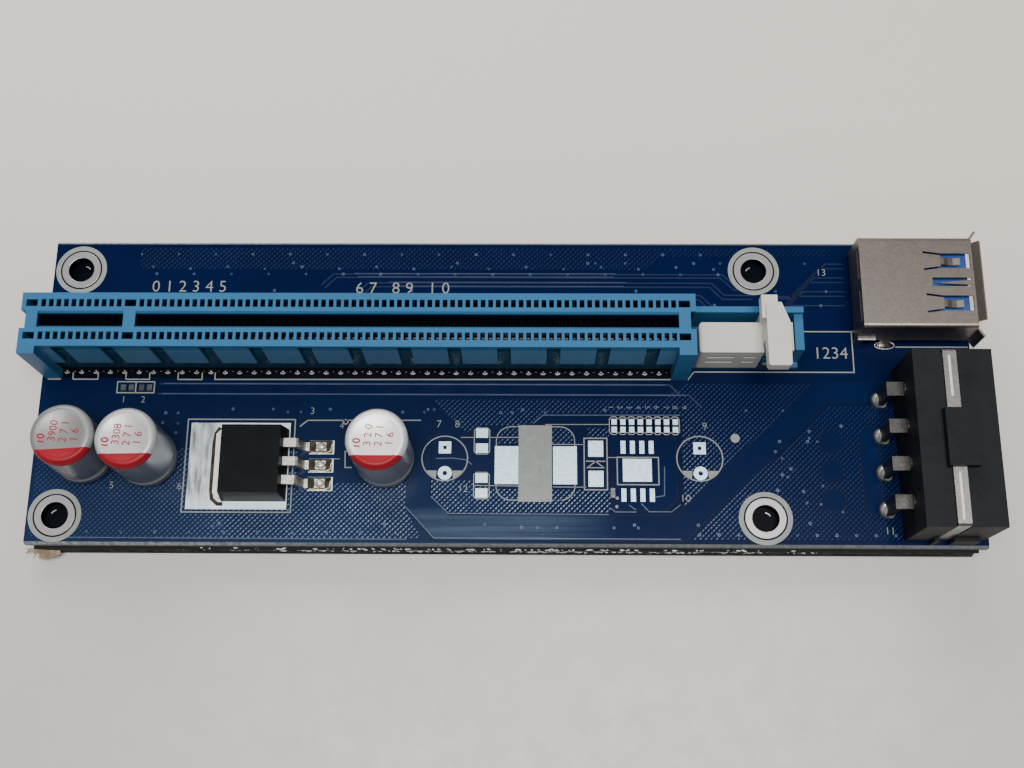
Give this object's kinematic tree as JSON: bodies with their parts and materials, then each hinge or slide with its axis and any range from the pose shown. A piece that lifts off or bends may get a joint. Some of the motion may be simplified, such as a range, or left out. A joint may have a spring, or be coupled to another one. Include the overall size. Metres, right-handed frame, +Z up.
{
  "type": "pcie riser card",
  "caption": "Riser circuit board with a long edge-card slot and end latch, a serial-bus socket, a four-pin power inlet, a regulator and round capacitors on a foam pad",
  "frame": {"origin": "Centre of the board outline, on the underside of the foam pad that the card rests on", "axes": "+X along the board towards the power inlet, +Y towards the long edge beside the slot, +Z up from the board"},
  "size_m": [0.1293, 0.0456, 0.0169],
  "materials": {
    "laminate": "blue solder resist over glass laminate, semi gloss",
    "foam": "black closed-cell foam, matte",
    "tape": "torn brown fibre tape",
    "slot_plastic": "light blue moulded nylon, satin",
    "gold": "gold flash over spring alloy",
    "latch_plastic": "warm white moulded nylon, satin",
    "nickel": "nickel plated sheet, lightly brushed",
    "blue_plastic": "blue moulded insulator",
    "black_plastic": "black moulded nylon, matte",
    "tin": "bright tin plating",
    "epoxy": "moulded black epoxy, matte",
    "can_metal": "drawn aluminium can, satin",
    "seal_rubber": "black rubber seal"
  },
  "bodies": {
    "root": {"circuit_board": "laminate", "insulating_pad": "foam", "torn_tape_scrap": "tape", "slot_housing": "slot_plastic", "slot_contacts_far": "gold", "slot_contacts_near": "gold", "usb_shell": "nickel", "usb_insulator": "blue_plastic", "usb_contacts": "gold", "power_housing": "black_plastic", "power_strap": "tin", "regulator_body": "epoxy", "regulator_tab": "tin", "power_pin_1": "tin", "power_pin_2": "tin", "power_pin_3": "tin", "power_pin_4": "tin", "regulator_leg_1": "tin", "regulator_leg_2": "tin", "regulator_leg_3": "tin", "capacitor_can_1": "can_metal", "capacitor_seal_1": "seal_rubber", "capacitor_leads_1": "tin", "capacitor_can_2": "can_metal", "capacitor_seal_2": "seal_rubber", "capacitor_leads_2": "tin", "capacitor_can_3": "can_metal", "capacitor_seal_3": "seal_rubber", "capacitor_leads_3": "tin"},
    "latch": {"slot_latch": "latch_plastic"}
  },
  "joints": [
    {"name": "latch_hinge", "type": "hinge", "parent": "root", "child": "latch", "pos_m": [0.03575, 0.00605, 0.007], "axis": [0, 1, 0], "range_deg": [0, 20]}
  ]
}
